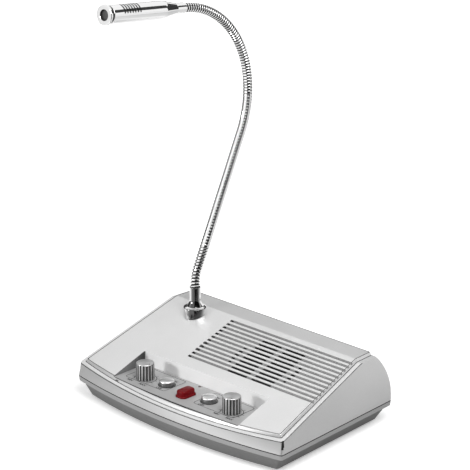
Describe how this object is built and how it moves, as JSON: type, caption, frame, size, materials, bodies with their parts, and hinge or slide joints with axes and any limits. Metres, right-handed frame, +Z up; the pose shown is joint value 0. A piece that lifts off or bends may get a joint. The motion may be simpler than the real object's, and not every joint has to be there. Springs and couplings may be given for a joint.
{
  "type": "window intercom",
  "caption": "Counter intercom console with a sloped grille plate, a recessed panel of knobs and push buttons, and a bending gooseneck microphone on a chrome foot.",
  "frame": {"origin": "on the desk, under the middle of the console", "axes": "+Z up, -Y towards the person at the console, +X to that person's right"},
  "size_m": [0.2098, 0.1548, 0.315],
  "materials": {
    "silver_shell": "fine silver paint on moulded plastic, satin",
    "grey_shell": "grey silver paint on moulded plastic, satin",
    "panel_film": "printed overlay film, satin",
    "ribbon_film": "flat ribbon cable, matte",
    "foot_rubber": "matte rubber",
    "zinc_steel": "zinc plated, satin",
    "lens_red": "dark clear lens, gloss",
    "board_green": "solder mask, semi-gloss",
    "black_plastic": "moulded, matte",
    "spun_aluminium": "spun, with fine turned lines",
    "bright_chrome": "bright chrome plate, mirror gloss",
    "button_red": "clear-topped red, high gloss",
    "black_cloth": "open weave, matte",
    "paper_cone": "doped paper, matte",
    "lead_sheath": "flexible sheath, matte",
    "mesh_black": "fine black wire mesh"
  },
  "bodies": {
    "console": {"upper_housing": "silver_shell", "lower_housing": "grey_shell", "control_panel": "panel_film", "board_ribbon": "ribbon_film", "foot_front_left": "foot_rubber", "foot_rear_left": "foot_rubber", "foot_front_right": "foot_rubber", "foot_rear_right": "foot_rubber", "case_screw_front_left": "zinc_steel", "case_screw_rear_left": "zinc_steel", "case_screw_front_right": "zinc_steel", "case_screw_rear_right": "zinc_steel", "volume_pot_left": "zinc_steel", "volume_pot_right": "zinc_steel", "pot_nut_left": "zinc_steel", "pot_nut_right": "zinc_steel", "speaker_basket": "zinc_steel", "speaker_magnet": "zinc_steel", "mic_foot_washer": "zinc_steel", "mic_foot_nut": "zinc_steel", "indicator_lens": "lens_red", "main_board": "board_green", "control_board": "board_green", "amplifier_chip": "black_plastic", "filter_capacitor": "black_plastic", "power_socket": "black_plastic", "window_speaker_socket": "black_plastic", "recorder_socket": "black_plastic", "switch_left": "black_plastic", "switch_right": "black_plastic", "switch_red": "black_plastic", "speaker_clamp": "black_plastic", "mic_foot": "bright_chrome", "neck_0": "bright_chrome", "dust_cloth": "black_cloth", "speaker_cone": "paper_cone", "mic_lead": "lead_sheath", "speaker_leads": "lead_sheath"},
    "neck_side": {"neck_1": "bright_chrome", "neck_lead_1": "lead_sheath"},
    "neck_low": {"neck_2": "bright_chrome", "neck_lead_2": "lead_sheath"},
    "neck_middle": {"neck_3": "bright_chrome", "neck_lead_3": "lead_sheath"},
    "neck_high": {"neck_4": "bright_chrome", "neck_lead_4": "lead_sheath"},
    "head": {"neck_5": "bright_chrome", "neck_lead_5": "lead_sheath", "mic_barrel": "bright_chrome", "mic_bezel": "bright_chrome", "mic_mesh": "mesh_black", "mic_capsule": "zinc_steel", "capsule_holder": "foot_rubber"},
    "volume_left": {"knob_left": "spun_aluminium", "pot_shaft_left": "spun_aluminium"},
    "volume_right": {"knob_right": "spun_aluminium", "pot_shaft_right": "spun_aluminium"},
    "push_left": {"button_left": "bright_chrome"},
    "push_right": {"button_right": "bright_chrome"},
    "push_red": {"button_red": "button_red"}
  },
  "joints": [
    {"name": "neck_sideways", "type": "hinge", "parent": "console", "child": "neck_side", "pos_m": [-0.0615, 0.02114, 0.0934], "axis": [0, 0.9018, -0.4321], "range_deg": [-30, 30]},
    {"name": "neck_bend_1", "type": "hinge", "parent": "neck_side", "child": "neck_low", "pos_m": [-0.0615, 0.02935, 0.11054], "axis": [1, 0, 0], "range_deg": [-15, 30]},
    {"name": "neck_bend_2", "type": "hinge", "parent": "neck_low", "child": "neck_middle", "pos_m": [-0.0615, 0.05501, 0.1641], "axis": [1, 0, 0], "range_deg": [-25, 25]},
    {"name": "neck_bend_3", "type": "hinge", "parent": "neck_middle", "child": "neck_high", "pos_m": [-0.0615, 0.07495, 0.21951], "axis": [1, 0, 0], "range_deg": [-30, 20]},
    {"name": "neck_bend_4", "type": "hinge", "parent": "neck_high", "child": "head", "pos_m": [-0.0615, 0.05376, 0.27572], "axis": [1, 0, 0], "range_deg": [-35, 20]},
    {"name": "volume_left_turn", "type": "hinge", "parent": "console", "child": "volume_left", "pos_m": [-0.0443, -0.0534, 0.034], "axis": [0, 0, 1], "range_deg": [-150, 150]},
    {"name": "volume_right_turn", "type": "hinge", "parent": "console", "child": "volume_right", "pos_m": [0.0448, -0.0534, 0.034], "axis": [0, 0, 1], "range_deg": [-150, 150]},
    {"name": "push_left_press", "type": "slide", "parent": "console", "child": "push_left", "axis": [0, 0, 1], "range_m": [-0.0015, 0], "stiffness_N_per_m": 400, "springref_m": 0.002},
    {"name": "push_right_press", "type": "slide", "parent": "console", "child": "push_right", "axis": [0, 0, 1], "range_m": [-0.0015, 0], "stiffness_N_per_m": 400, "springref_m": 0.002},
    {"name": "push_red_press", "type": "slide", "parent": "console", "child": "push_red", "axis": [0, 0, 1], "range_m": [-0.0015, 0], "stiffness_N_per_m": 400, "springref_m": 0.002}
  ]
}
